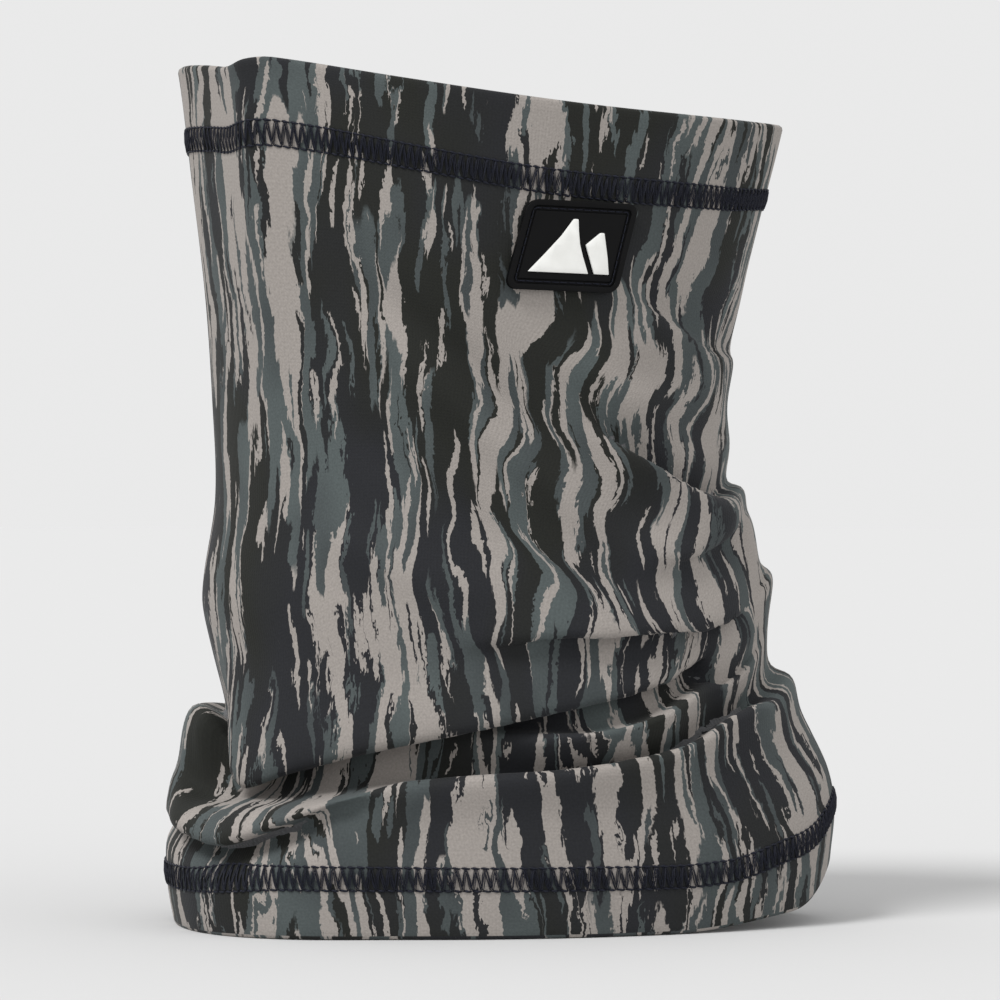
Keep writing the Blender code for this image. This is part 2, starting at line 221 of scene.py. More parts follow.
# Soft drag lines across the front: half width, how far out, and points of angle and height. Each
# fades in and out over a share of its length.
DRAG_FADE = 0.35
DRAGS = (
    (0.0075, -0.0024, ((-122, 0.192), (-113, 0.185), (-92, 0.167), (-80, 0.152), (-66, 0.140))),
    (0.0085, 0.0026, ((-116, 0.172), (-98, 0.158), (-82, 0.140), (-66, 0.122), (-52, 0.112))),
    (0.0090, -0.0018, ((-128, 0.150), (-108, 0.136), (-90, 0.118), (-72, 0.104))),
    (0.0080, 0.0018, ((-134, 0.118), (-112, 0.108), (-92, 0.098), (-76, 0.096))),
    (0.0070, 0.0018, ((-80, 0.176), (-66, 0.166), (-54, 0.160), (-40, 0.158))),
)

# Ripples where the cloth is slack on the right: angle in degrees and how far they stand out, and
# the heights between which they show.
RIPPLE_REACH = (
    (-66, 0.0), (-48, 0.0009), (-28, 0.0009), (-6, 0.0002), (12, 0.0003), (45, 0.0013), (75, 0.0),
)
RIPPLE_HEIGHTS = ((0.090, 0.0), (0.112, 1.0), (0.170, 0.75), (0.212, 0.0))
RIPPLE_LENGTH = 0.0235
RIPPLE_SLOPE = 0.00034  # how much higher a ripple is for each degree to the right

# Sideways waves, by which the slack cloth has slid round the tube: reach in radians.
SWAY_REACH = (
    (-118, 0.0), (-98, 0.012), (-72, 0.046), (-40, 0.062), (-12, 0.055), (30, 0.020), (80, 0.0),
)
SWAY_HEIGHTS = ((0.064, 0.0), (0.090, 1.0), (0.165, 0.9), (0.214, 0.0))
SWAY_LENGTH = 0.045
SWAY_SLOPE = 0.00062  # how much lower a wave is for each degree to the right

# Upright creases that the tube keeps from lying flat: angle, how far out, half width in degrees,
# and the heights from which and up to which the crease grows.
CREASES = (
    (-137, 0.0062, 8, 0.100, 0.230),
    (-158, -0.0012, 9, 0.120, 0.235),
    (-8, 0.0026, 12, 0.170, 0.240),
    (168, 0.0020, 16, 0.100, 0.220),
    (-118, -0.0016, 15, 0.080, 0.200),
    (-98, 0.0010, 10, 0.090, 0.180),
    (-66, -0.0012, 13, 0.150, 0.240),
)

# The camera, which stands level in front of the tube
CAMERA_PLACE = (0.0007, -1.4, 0.1256)
SENSOR = 36  # millimetres across
VIEW_WIDTH = 0.300  # metres seen across the tube's middle
SUN_AIM = (0, 0, 0.12)
FLOOR_SIZE = 40
FLOOR_GREY = 0.598
SKY_STRENGTH = 0.82


def catmull(points, x):
    """A smooth curve through (x, value) points, read at every x of an array."""
    xs = np.array([p[0] for p in points], float)
    ys = np.array([p[1] for p in points], float)
    x = np.clip(x, xs[0], xs[-1])
    k = np.clip(np.searchsorted(xs, x, side="right") - 1, 0, len(xs) - 2)
    before, after = np.maximum(k - 1, 0), np.minimum(k + 2, len(xs) - 1)
    step = xs[k + 1] - xs[k]
    t = (x - xs[k]) / step
    rise_in = (ys[k + 1] - ys[before]) / (xs[k + 1] - xs[before]) * step
    rise_out = (ys[after] - ys[k]) / (xs[after] - xs[k]) * step
    return (
        ys[k] * (2 * t**3 - 3 * t**2 + 1) + ys[k + 1] * (3 * t**2 - 2 * t**3)
        + rise_in * (t**3 - 2 * t**2 + t) + rise_out * (t**3 - t**2)
    )


def ease(t):
    """From 0 to 1 with a level start and end, as t goes from 0 to 1."""
    t = np.clip(t, 0.0, 1.0)
    return t * t * (3 - 2 * t)


def between(x, start, end):
    """From 0 to 1 with a level start and end, as x goes from start to end."""
    return ease((x - start) / (end - start))


def eased(points, x):
    """Like catmull, but level at each point, so that it never overshoots."""
    value = np.full_like(x, points[0][1])
    for (x0, y0), (x1, y1) in zip(points, points[1:]):
        value = value + (y1 - y0) * between(x, x0, x1)
    return value


def swell(share):
    """From 0 at 0 up to 1 at 1, and slowly back beyond."""
    return share * np.exp(1 - share)


def nominal(angle, share):
    """The unfolded tube: share goes from 0 at the bottom edge to 1 at the top edge."""
    height = share * HEIGHT
    centre, wide, deep, pinch = (
        catmull([(s[0], s[column]) for s in SECTIONS], height) for column in (1, 2, 3, 4)
    )
    right = np.cos(angle)
    x = centre + wide * right
    square = SQUARE_LEFT * between(-right, 0.1, 0.6) * between(height, 0.050, 0.015)
    y = deep * np.sin(angle) * (1 + square * right**2) * (1 - pinch * right)
    tilt = HEM_LIFT * between(right, 0.66, 0.93) - HEM_DROP * between(-right, 0.60, 0.95)
    lift = RIGHT_LIFT * np.clip((right - LIFT_START) / (1 - LIFT_START), 0, 1) ** LIFT_POWER
    lift = lift + SIDE_LIFT * between(right, 0.5, 1.0) + tilt * swell(height / HEM_DEPTH)
    sag = TOP_SAG * (1 - (x / SAG_HALF) ** 2)
    sag = sag + LEFT_DROP * between(x, LEFT_CORNER, LEFT_CORNER - CORNER_REACH)
    rise = TOP_HEM_LIFT * between(x, 0.020, -0.070) * swell((HEIGHT - height) / HEM_DEPTH)
    z = height + share * TOP_SLOPE * x - share**3 * sag + (1 - share) * lift + rise
    return x, y, z


def fold_swing(angle, height, half, points):
    """How far one fold moves the cloth outward and downward. Its swing, which is 1 at most, takes
    the cloth above the fold's line one way and the cloth below it the other way."""
    first, last = points[0][0], points[-1][0]
    turn = first + np.mod(np.degrees(angle) - first, 360)
    inside = turn < last
    turn = np.where(inside, turn, first)
    out, down, sunk = (eased([(p[0], p[k]) for p in points], turn) * inside for k in (2, 3, 4))
    t = (catmull(points, turn) - height) / half
    swing = -math.sqrt(2 * math.e) * t * np.exp(-(t**2))
    return out * swing - sunk * np.exp(-((t / 1.3) ** 2)), down * swing


def facing(angle):
    """The angle in degrees, from -180 to 180."""
    return np.mod(np.degrees(angle) + 180, 360) - 180


def ripple(angle, height):
    """Soft ripples that lean up to the right and are uneven in length."""
    turn = facing(angle)
    reach = eased(RIPPLE_REACH, turn) * eased(RIPPLE_HEIGHTS, height)
    wander = 0.9 * np.sin(turn / 19 + 1.0) + 1.1 * np.sin(height / 0.019 + turn / 31)
    return reach * np.sin(2 * math.pi * (height - RIPPLE_SLOPE * turn) / RIPPLE_LENGTH + wander)


def sway(angle, height):
    """How far the slack cloth has slid round the tube, in radians."""
    turn = facing(angle)
    reach = eased(SWAY_REACH, turn) * eased(SWAY_HEIGHTS, height)
    phase = 2 * math.pi * (height + SWAY_SLOPE * turn) / SWAY_LENGTH + 0.7 * np.sin(turn / 14)
    return reach * (np.sin(phase) + 0.35 * np.sin(2.3 * phase + 1.0))


def drag(angle, height):
    """Soft ridges and valleys along lines across the front, fading out towards their ends."""
    turn = facing(angle)
    out = np.zeros_like(angle)
    for half, rise, points in DRAGS:
        first, last = points[0][0], points[-1][0]
        share = (turn - first) / (last - first)
        fade = ease(share / DRAG_FADE) * ease((1 - share) / DRAG_FADE)
        out = out + rise * fade * np.exp(-(((height - catmull(points, turn)) / half) ** 2))
    return out


def crease(angle, height):
    """Upright ridges and valleys, each with a faint opposite on both sides."""
    out = np.zeros_like(angle)
    for middle, rise, half, low, high in CREASES:
        turn = facing(angle - math.radians(middle))
        ridge = np.exp(-np.abs(turn / half) ** 1.6)
        beside = 0.35 * np.exp(-((turn / (2.6 * half)) ** 2))
        out = out + rise * (ridge - beside) * between(height, low, high)
    return out


def folded(angle, share):
    """The tube with its folds, ripples and creases."""
    height = share * HEIGHT
    angle = angle + sway(angle, height)
    x, y, z = nominal(angle, share)
    outward = ripple(angle, height) + crease(angle, height) + drag(angle, height)
    pushed, downward = np.zeros_like(x), np.zeros_like(x)
    for half, points in FOLDS.values():
        out, down = fold_swing(angle, height, half, points)
        pushed = pushed + out
        downward = downward + down
    across, ahead = FOLD_FACING * np.cos(angle), np.sin(angle)
    pushed = pushed / np.hypot(across, ahead)
    return (
        x + outward * np.cos(angle) + pushed * across,
        y + outward * np.sin(angle) + pushed * ahead,
        z - downward,
    )


def spaced_rows():
    """The cloth's points, as rows from the bottom edge to the top, evenly spaced up the cloth."""
    turn = np.linspace(-1.5, 0.5, COLUMNS + 1) * math.pi
    angle = turn + CROWDING * np.sin(2 * turn)
    edge = HEM_THICKNESS / 2 / HEIGHT
    low, high = BOTTOM_HEM_DEPTH / HEIGHT, 1 - HEM_DEPTH / HEIGHT
    share = np.linspace(low, high, FINE_ROWS)
    fine = np.stack(folded(*np.meshgrid(angle, share)), axis=-1)
    along = np.zeros(fine.shape[:2])
    along[1:] = np.cumsum(np.linalg.norm(np.diff(fine, axis=0), axis=2), axis=0)
    body = np.empty((BODY_ROWS + 1, COLUMNS + 1, 3))
    for column in range(COLUMNS + 1):
        wanted = np.linspace(0, along[-1, column], BODY_ROWS + 1)
        for k in range(3):
            body[:, column, k] = np.interp(wanted, along[:, column], fine[:, column, k])
    bottom = np.stack(folded(*np.meshgrid(angle, np.linspace(edge, low, HEM_ROWS + 1))), axis=-1)
    top = np.stack(folded(*np.meshgrid(angle, np.linspace(high, 1 - edge, HEM_ROWS + 1))), axis=-1)
    return np.concatenate([bottom[:-1], body, top[1:]])


def unit(vectors):
    """The vectors, each made one long."""
    return vectors / np.maximum(np.linalg.norm(vectors, axis=-1, keepdims=True), 1e-9)


def softened(grid, rounds):
    """The grid with each point drawn towards its neighbours up and down the cloth."""
    for _ in range(rounds):
        grid = grid.copy()
        grid[1:-1] = 0.5 * grid[1:-1] + 0.25 * (grid[:-2] + grid[2:])
    return grid


class Cloth:
    """The outer face of the cloth as a grid. Column 0 is at the back, row 0 at the bottom edge."""

    def __init__(self):
        self.points = spaced_rows()
        self.rows = self.points.shape[0] - 1
        wrapped = np.concatenate([self.points[:, -2:-1], self.points, self.points[:, 1:2]], axis=1)
        self.up_way = unit(np.gradient(self.points, axis=0))
        self.normals = unit(np.cross(unit(wrapped[:, 2:] - wrapped[:, :-2]), self.up_way))
        steps = np.linalg.norm(np.diff(self.points, axis=0), axis=2).mean(axis=1)
        self.along = np.concatenate([[0], np.cumsum(steps)])  # distance up the cloth at each row

    def inset(self, depth, rounds=0):
        """The grid moved in by depth, which may differ from row to row."""
        depth = np.broadcast_to(depth, (self.rows + 1,))[:, None, None]
        return softened(self.points - unit(softened(self.normals, rounds)) * depth, rounds)

    def edge(self, row, way):
        """Rows round the turned edge of a hem, from the outer face to the inner."""
        half = HEM_THICKNESS / 2
        turns = np.linspace(0, math.pi, EDGE_STEPS + 1)[1:-1]
        return [
            self.points[row] - self.normals[row] * half * (1 - math.cos(turn))
            + way * self.up_way[row] * half * math.sin(turn)
            for turn in turns
        ]

    def at(self, column, row, out=0.0):
        """Points over the cloth, at fractions of a column and a row, out from its face."""
        column = np.mod(np.asarray(column, float), COLUMNS)
        row = np.clip(np.asarray(row, float), 0, self.rows - 1e-6)
        column, row, out = np.broadcast_arrays(column, row, np.asarray(out, float))
        c, r = np.floor(column).astype(int), np.floor(row).astype(int)
        u, v = (column - c)[..., None], (row - r)[..., None]

        def read(grid):
            low = grid[r, c] * (1 - u) + grid[r, c + 1] * u
            high = grid[r + 1, c] * (1 - u) + grid[r + 1, c + 1] * u
            return low * (1 - v) + high * v

        return read(self.points) + unit(read(self.normals)) * out[..., None]

    def row_at(self, distance):
        """The row at a distance up the cloth from the bottom edge."""
        return np.interp(distance, self.along, np.arange(self.rows + 1))


def select_only(piece=None):
    """Leaves edit mode and selects one piece, or nothing."""
    if bpy.context.object and bpy.context.object.mode != "OBJECT":
        bpy.ops.object.mode_set(mode="OBJECT")
    bpy.ops.object.select_all(action="DESELECT")
    if piece:
        piece.select_set(True)
        bpy.context.view_layer.objects.active = piece


def add_wrapped(name, rows, columns_apart=ROUND / COLUMNS):
    """A sheet from rows of points, with its flat size in metres as its UV map. Its first and last
    rows, and its first and last columns, join where they lie on each other."""
    select_only()
    rows = np.asarray(rows)
    down, across = rows.shape[:2]
    bpy.ops.mesh.primitive_grid_add(x_subdivisions=across - 1, y_subdivisions=down - 1, size=1)
    sheet = bpy.context.object
    sheet.name = sheet.data.name = name
    mesh = sheet.data
    mesh.vertices.foreach_set("co", rows.astype(np.float32).ravel())
    steps = np.linalg.norm(np.diff(rows, axis=0), axis=2).mean(axis=1)
    along = np.concatenate([[0], np.cumsum(steps)])
    uvs = np.empty(len(mesh.loops) * 2, np.float32)
    mesh.uv_layers[0].data.foreach_get("uv", uvs)
    uvs = uvs.reshape(-1, 2)
    flat = np.empty_like(uvs)
    flat[:, 0] = uvs[:, 0] * (across - 1) * columns_apart
    flat[:, 1] = np.interp(uvs[:, 1] * (down - 1), np.arange(down), along)
    mesh.uv_layers[0].data.foreach_set("uv", flat.ravel())
    bpy.ops.object.mode_set(mode="EDIT")
    bpy.ops.mesh.select_all(action="SELECT")
    bpy.ops.mesh.remove_doubles(threshold=WELD)
    bpy.ops.mesh.normals_make_consistent(inside=False)
    bpy.ops.object.mode_set(mode="OBJECT")
    bpy.ops.object.shade_smooth()
    return sheet


def add_printed_tube(cloth):
    """The printed fabric: its face, the turned edges, and its back. It is doubled in the hems."""
    last = cloth.rows
    row = np.arange(last + 1)
    in_body = ease((row - HEM_ROWS + 1) / 2) * ease((last - HEM_ROWS + 1 - row) / 2)
    depth = HEM_THICKNESS + (FABRIC - HEM_THICKNESS) * in_body
    back = cloth.inset(depth, rounds=2)
    top, bottom = cloth.edge(last, 1), cloth.edge(0, -1)
    rows = [*cloth.points, *top, *back[::-1], *reversed(bottom), cloth.points[0]]
    return add_wrapped("printed_tube", rows)


def add_lining(cloth):
    """The lining, which lies against the back of the printed fabric between the hems."""
    near = cloth.inset(FABRIC + LAYER_GAP, rounds=3)
    far = cloth.inset(FABRIC + LAYER_GAP + LINING, rounds=5)
    low, high = HEM_ROWS + 1, cloth.rows - HEM_ROWS - 1
    rows = [*near[low:high:2, ::2], *far[low:high:2, ::2][::-1], near[low, ::2]]
    return add_wrapped("lining_layer", rows, columns_apart=2 * ROUND / COLUMNS)


def add_thread(name, lines, radius, closed, bead=None):
    """Thread along each line of points, as one mesh. Its thickness repeats the shares in bead."""
    select_only()
    curve = bpy.data.curves.new(name, "CURVE")
    curve.dimensions = "3D"
    curve.bevel_depth = radius
    curve.bevel_resolution = 1
    curve.use_fill_caps = True
    for line in lines:
        spline = curve.splines.new("POLY")
        spline.points.add(len(line) - 1)
        spline.points.foreach_set("co", np.c_[line, np.ones(len(line))].ravel())
        if bead is not None:
            spline.points.foreach_set("radius", np.resize(bead, len(line)))
        spline.use_cyclic_u = closed
        spline.use_smooth = True
    thread = bpy.data.objects.new(name, curve)
    bpy.context.collection.objects.link(thread)
    select_only(thread)
    bpy.ops.object.convert(target="MESH")
    bpy.ops.object.shade_smooth()
    return bpy.context.object


def needle_line(place, across, stitches):
    """A row of needle stitches: the thread stands over the fabric and dips in at each stitch."""
    steps = np.arange(stitches * len(BEAD)) / len(BEAD)
    dip = np.abs(np.sin(math.pi * steps)) ** 0.6
    weave = NEEDLE_WEAVE * np.sin(2 * math.pi * steps)
    return place(steps * STITCH, across + weave, NEEDLE_RADIUS * (1.3 * dip - 0.6))


def looper_lines(place, low, high, stitches, random):
    """Looped thread that zigzags between two needle rows, as strands side by side."""
    lines = []
    for strand, beside in enumerate(STRANDS):
        steps = np.arange(stitches * LOOP_STEPS) / LOOP_STEPS
        phase = np.mod(steps + LOOP_LAG * strand, 1.0)
        cross = np.clip(1.25 * (1 - np.abs(2 * phase - 1)) - 0.125, 0, 1)
        shift = beside + random.normal(0, LOOP_UNEVEN, len(steps))
        out = LOOP_LOW + LOOP_BELLY * np.sin(math.pi * cross) + LOOP_LAYER * strand
        lines.append(place(steps * STITCH + shift, low + (high - low) * cross, out))
    return lines


def dress(piece, finish, slot, nodes, body=None):
    """Gives a piece its material, hides the CAD nodes that it stands for, and sets the body it
    rides on.
    """
    piece.data.materials.clear()
    piece.data.materials.append(finish)
    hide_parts(*nodes)
    if body:
        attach(piece, body)
    else:
        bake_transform(piece)
    return piece


def add_hem_seam(cloth, prefix, low, body, thread, random):
    """A flatlock seam round a hem. Its lower row is at a distance of low up the cloth."""
    stitches = round(ROUND / STITCH)

    def place(along, across, out):
        return cloth.at(along / ROUND * COLUMNS, cloth.row_at(across), out)

    high = low + SEAM_WIDTH
    loops = looper_lines(place, low, high, stitches, random)
    looper = add_thread(prefix + "_zigzag", loops, LOOPER_RADIUS, True)
    made = [dress(looper, thread, "navy_thread", [prefix + "_looper_thread"], body)]
    for name, across in (("lower", low), ("upper", high)):
        row = [needle_line(place, across, stitches)]
        line = add_thread(f"{prefix}_{name}_stitches", row, NEEDLE_RADIUS, True, BEAD)
        made.append(dress(line, thread, "navy_thread", [f"{prefix}_{name}_needle_thread"], body))
    return made


def add_upright_seam(cloth, name, node, out, thread, random):
    """The flatlock seam that closes a layer at the back, between the hem seams."""
    start, end = cloth.along[HEM_ROWS + 1], cloth.along[-HEM_ROWS - 2]
    stitches = int((end - start) / STITCH)

    def place(along, across, height):
        away = out + math.copysign(1, out) * height
        return cloth.at(across / ROUND * COLUMNS, cloth.row_at(start + along), away)

    half = SEAM_WIDTH / 2
    lines = looper_lines(place, -half, half, stitches, random)
    lines += [needle_line(place, side, stitches) for side in (-half, half)]
    seam = add_thread(name, lines, UPRIGHT_RADIUS, False)
    return dress(seam, thread, "navy_thread", [node])


def pick(piece, kind, test):
    """Goes into edit mode with only the faces or edges of a piece selected that pass a test."""
    select_only(piece)
    mesh = piece.data
    bpy.context.tool_settings.mesh_select_mode = (False, kind == "EDGE", kind == "FACE")
    for group in (mesh.vertices, mesh.edges, mesh.polygons):
        group.foreach_set("select", [False] * len(group))
    if kind == "FACE":
        for face in mesh.polygons:
            face.select = test(face)
    else:
        for edge in mesh.edges:
            edge.select = test(*(mesh.vertices[v].co for v in edge.vertices))
    bpy.ops.object.mode_set(mode="EDIT")


def round_edges(piece, width, segments):
    """Rounds a piece's sharp edges."""
    select_only(piece)
    rounding = piece.modifiers.new("rounding", "BEVEL")
    rounding.width = width
    rounding.segments = segments
    rounding.limit_method = "ANGLE"
    rounding.angle_limit = math.radians(40)
    bpy.ops.object.modifier_apply(modifier=rounding.name)


def bend_onto(piece, place):
    """Cuts a flat piece across at even steps, and moves it onto the curve of the cloth."""
    size = [max(abs(v.co[k]) for v in piece.data.vertices) for k in range(2)]
    for k in range(2):
        cuts = int(size[k] / PATCH_CUT)
        for step in range(-cuts, cuts + 1):
            pick(piece, "FACE", lambda face: True)
            where = [0.0, 0.0, 0.0]
            where[k] = step * PATCH_CUT
            bpy.ops.mesh.bisect(plane_co=where, plane_no=(k == 0, k == 1, 0))
            bpy.ops.object.mode_set(mode="OBJECT")
    flat = np.array([v.co for v in piece.data.vertices])
    piece.data.vertices.foreach_set("co", place(*flat.T).astype(np.float32).ravel())
    select_only(piece)
    bpy.ops.object.shade_smooth_by_angle(angle=math.radians(35))
    return piece


def patch_ground(cloth):
    """A smooth surface over the cloth behind the patch: place(across, up, out) in metres."""
    away = np.linalg.norm(cloth.points[:, :, ::2] - np.array(PATCH_PLACE), axis=2)
    at_back = cloth.points[:, :, 1] > 0
    row, column = np.unravel_index(np.argmin(away + 10 * at_back), away.shape)
    middle = cloth.points[row, column]
    x_way = unit(cloth.points[row, column + 4] - cloth.points[row, column - 4])
    x_way = unit(np.array((x_way[0], x_way[1], -0.02)))
    z_way = unit(np.cross(x_way, cloth.up_way[row, column]))
    y_way = np.cross(z_way, x_way)
    near = cloth.points[row - 9:row + 10, column - 12:column + 13].reshape(-1, 3) - middle
    x, y, z = near @ x_way, near @ y_way, near @ z_way
    under = np.abs(x) < PATCH_WIDTH / 2 + PATCH_MARGIN[0]
    under &= np.abs(y) < PATCH_HEIGHT / 2 + PATCH_MARGIN[1]

    def terms(x, y):
        return np.stack([np.ones_like(x), x, y, x * x, x * y, y * y], axis=-1)

    fit = np.linalg.lstsq(terms(x[under], y[under]), z[under], rcond=None)[0]
    proud = (z[under] - terms(x[under], y[under]) @ fit).max() + PATCH_GAP
    shift = np.array((PATCH_PLACE[0] - middle[0], 0, PATCH_PLACE[1] - middle[2]))

    def place(across, up, out):
        x, y = across + PATCH_LEAN * up + shift @ x_way, up + shift @ y_way
        slope_x = fit[1] + 2 * fit[3] * x + fit[4] * y
        slope_y = fit[2] + fit[4] * x + 2 * fit[5] * y
        outward = unit(z_way - slope_x[:, None] * x_way - slope_y[:, None] * y_way)
        ground = x[:, None] * x_way + y[:, None] * y_way + (terms(x, y) @ fit)[:, None] * z_way
        return middle + ground + outward * (proud + out)[:, None]

    return place


def add_patch_base(place):
    """The moulded patch: a raised rim, a channel inside it and a flat field."""
    select_only()
    bpy.ops.mesh.primitive_cube_add(size=1)
    patch = bpy.context.object
    patch.name = patch.data.name = "patch_moulding"
    corners = np.array([v.co for v in patch.data.vertices]) + (0, 0, 0.5)
    corners *= (PATCH_WIDTH, PATCH_HEIGHT, PATCH_THICKNESS)
    patch.data.vertices.foreach_set("co", corners.astype(np.float32).ravel())
    pick(patch, "EDGE", lambda a, b: (a - b).to_2d().length < WELD)
    bpy.ops.mesh.bevel(offset=PATCH_CORNER, segments=7, affect="EDGES")
    bpy.ops.object.mode_set(mode="OBJECT")
    pick(patch, "FACE", lambda face: face.normal.z > 0.9)
    for across, up in (
        (PATCH_RIM, 0), (PATCH_WALL, -PATCH_DROP), (PATCH_CHANNEL, 0), (PATCH_WALL, PATCH_FIELD)
    ):
        bpy.ops.mesh.inset(thickness=across, depth=up)
    bpy.ops.object.mode_set(mode="OBJECT")
    round_edges(patch, PATCH_ROUNDING, 3)
    return bend_onto(patch, place)


def add_peak(name, place, outline):
    """A raised peak on the patch's field, from an outline in shares of the patch's half size."""
    select_only()
    bpy.ops.mesh.primitive_circle_add(vertices=len(outline), fill_type="NGON")
    peak = bpy.context.object
    peak.name = peak.data.name = name
    base = PATCH_THICKNESS - PATCH_DROP + PATCH_FIELD
    corners = [(x * PATCH_WIDTH / 2, y * PATCH_HEIGHT / 2, base) for x, y in outline]
    peak.data.vertices.foreach_set("co", np.array(corners, np.float32).ravel())
    pick(peak, "FACE", lambda face: True)
    bpy.ops.mesh.extrude_region_move(TRANSFORM_OT_translate={"value": (0, 0, EMBLEM_RISE)})
    bpy.ops.mesh.select_all(action="SELECT")
    bpy.ops.mesh.normals_make_consistent(inside=False)
    bpy.ops.object.mode_set(mode="OBJECT")
    round_edges(peak, EMBLEM_ROUNDING, 2)
    return bend_onto(peak, place)


def add_channel_stitches(place):
    """Stitches that lie in the patch's channel and dip in between one and the next."""
    inset = PATCH_RIM + PATCH_WALL + PATCH_CHANNEL / 2 + CHANNEL_CORNER
    wide, tall = PATCH_WIDTH / 2 - inset, PATCH_HEIGHT / 2 - inset
    corners = []
    for quarter, (x_side, y_side) in enumerate(((1, 1), (-1, 1), (-1, -1), (1, -1))):
        turn = np.linspace(0, math.pi / 2, 5) + quarter * math.pi / 2
        bend = CHANNEL_CORNER * np.c_[np.cos(turn), np.sin(turn)]
        corners.append(bend + (x_side * wide, y_side * tall))
    path = np.concatenate(corners + [corners[0][:1]])
    along = np.concatenate([[0], np.cumsum(np.linalg.norm(np.diff(path, axis=0), axis=1))])
    count = round(along[-1] / CHANNEL_STITCH)
    lines = []
    for k in range(count):
        share = np.linspace(0.08, 0.92, 7)
        at = (k + share) / count * along[-1]
        x, y = (np.interp(at, along, path[:, axis]) for axis in range(2))
        rise = 0.00024 * np.sin(math.pi * share) ** 0.5 - 0.00006
        lines.append(place(x, y, PATCH_THICKNESS - PATCH_DROP + rise))
    return add_thread("patch_stitches", lines, CHANNEL_THREAD, False)


def add_care_label(cloth):
    """A blank satin label, sewn in at its top, whose free end curls away from the lining."""
    steps = 8  # across the label
    rows, columns = np.linspace(0, 1, 15), np.linspace(-0.5, 0.5, steps + 1)
    down, across = np.meshgrid(rows, columns, indexing="ij")
    upright = cloth.points[:, 8, 2]  # the heights up the cloth behind the label
    start = cloth.along[int(np.interp(LABEL_TOP, upright, np.arange(cloth.rows + 1)))]
    inside = FABRIC + LAYER_GAP + LINING + LABEL_GAP
    curl = LABEL_CURL * down**2 + LABEL_CUP * down * (2 * across) ** 2
    column = (LABEL_SIDE + across * LABEL_WIDTH) / ROUND * COLUMNS
    row = cloth.row_at(start - down * LABEL_LENGTH)
    points = cloth.at(column, row, -(inside + curl))
    label = add_wrapped("care_label_sheet", points, LABEL_WIDTH / steps)
    wall = label.modifiers.new("wall", "SOLIDIFY")
    wall.thickness = LABEL_THICKNESS
    bpy.ops.object.modifier_apply(modifier=wall.name)
    return label


class Value:
    """A number that varies over a surface. Sums and products of values add Math nodes."""

    def __init__(self, finish, socket):
        self.finish, self.socket = finish, socket

    def math(self, operation, *others):
        """The result of a Math node whose first number is this one."""
        return self.finish.node("Math", {"operation": operation}, self, *others)

    def __add__(self, other):
        return self.math("ADD", other)

    def __mul__(self, other):
        return self.math("MULTIPLY", other)

    def __sub__(self, other):
        return self.math("SUBTRACT", other)

    def __truediv__(self, other):
        return self.math("DIVIDE", other)

    def over(self, level, width):
        """1 where the value is above level and 0 below it, blurred over width."""
        return self.finish.node(
            "MapRange", {"clamp": True}, self, level - width / 2, level + width / 2, 0.0, 1.0
        )


class Finish:
    """A material under construction."""

    def __init__(self, name, **shader):
        self.material = bpy.data.materials.new(name)
        self.material.use_nodes = True
        self.tree = self.material.node_tree
        self.shader = self.tree.nodes["Principled BSDF"]
        for socket, value in shader.items():
            self.shader.inputs[socket.replace("_", " ")].default_value = value

    def node(self, kind, settings=None, *inputs, output=0, **named):
        """Adds a node: its settings first, then the values or links of its sockets."""
        made = self.tree.nodes.new("ShaderNode" + kind)
        for setting, value in (settings or {}).items():
            setattr(made, setting, value)
        sockets = [s for s in made.inputs if s.enabled]
        pairs = list(zip(sockets, inputs))
        for name, value in named.items():
            pairs.append((next(s for s in sockets if s.name == name.replace("_", " ")), value))
        for socket, value in pairs:
            if isinstance(value, Value):
                self.tree.links.new(value.socket, socket)
            else:
                socket.default_value = value
        outputs = [s for s in made.outputs if s.enabled]
        return Value(self, outputs[output])

    def noise(self, place, scale, detail):
        """Noise from 0 to 1, with scale spots to the metre."""
        return self.node("TexNoise", None, Vector=place, Scale=scale, Detail=detail)

    def flat_place(self):
        """Where a point lies on the cloth laid flat: as one place, and as metres round and up."""
        place = self.node("UVMap")
        parts = self.node("SeparateXYZ", None, place).socket.node.outputs
        return place, Value(self, parts[0]), Value(self, parts[1])

    def feed(self, socket, value):
        """Links a value to a socket of the shader."""
        self.tree.links.new(value.socket, self.shader.inputs[socket])

    def mix(self, factor, low, high):
        """The colour low where factor is 0 and high where it is 1."""
        return self.node("Mix", {"data_type": "RGBA"}, factor, low, high)

    def bump(self, height, distance, strength):
        """Shades the surface as if height, from 0 to 1, stood out by up to distance."""
        relief = self.node("Bump", None, Strength=strength, Distance=distance, Height=height)
        self.feed("Normal", relief)


def rgb(red, green, blue):
    """A linear colour from the 0 to 255 values that a paint chart gives."""
    def linear(value):
        share = value / 255
        return share / 12.92 if share <= 0.04045 else ((share + 0.055) / 1.055) ** 2.4

    return (linear(red), linear(green), linear(blue), 1.0)


TAUPE = rgb(147, 141, 136)
SLATE = rgb(78, 85, 85)
DARK_SLATE = rgb(62, 67, 68)
CHARCOAL = rgb(37, 38, 41)
OLIVE_BLACK = rgb(34, 35, 32)
NAVY = rgb(15, 17, 26)


def knit(u, v, wide, tall):
    """The height of a knit's stitches, from 0 to 1, at u round the cloth and v up it."""
    columns = (u * (2 * math.pi / wide)).math("SINE")
    loops = (v * (2 * math.pi / tall) + columns * 1.3).math("SINE")
    return columns * 0.28 + loops * 0.22 + 0.5


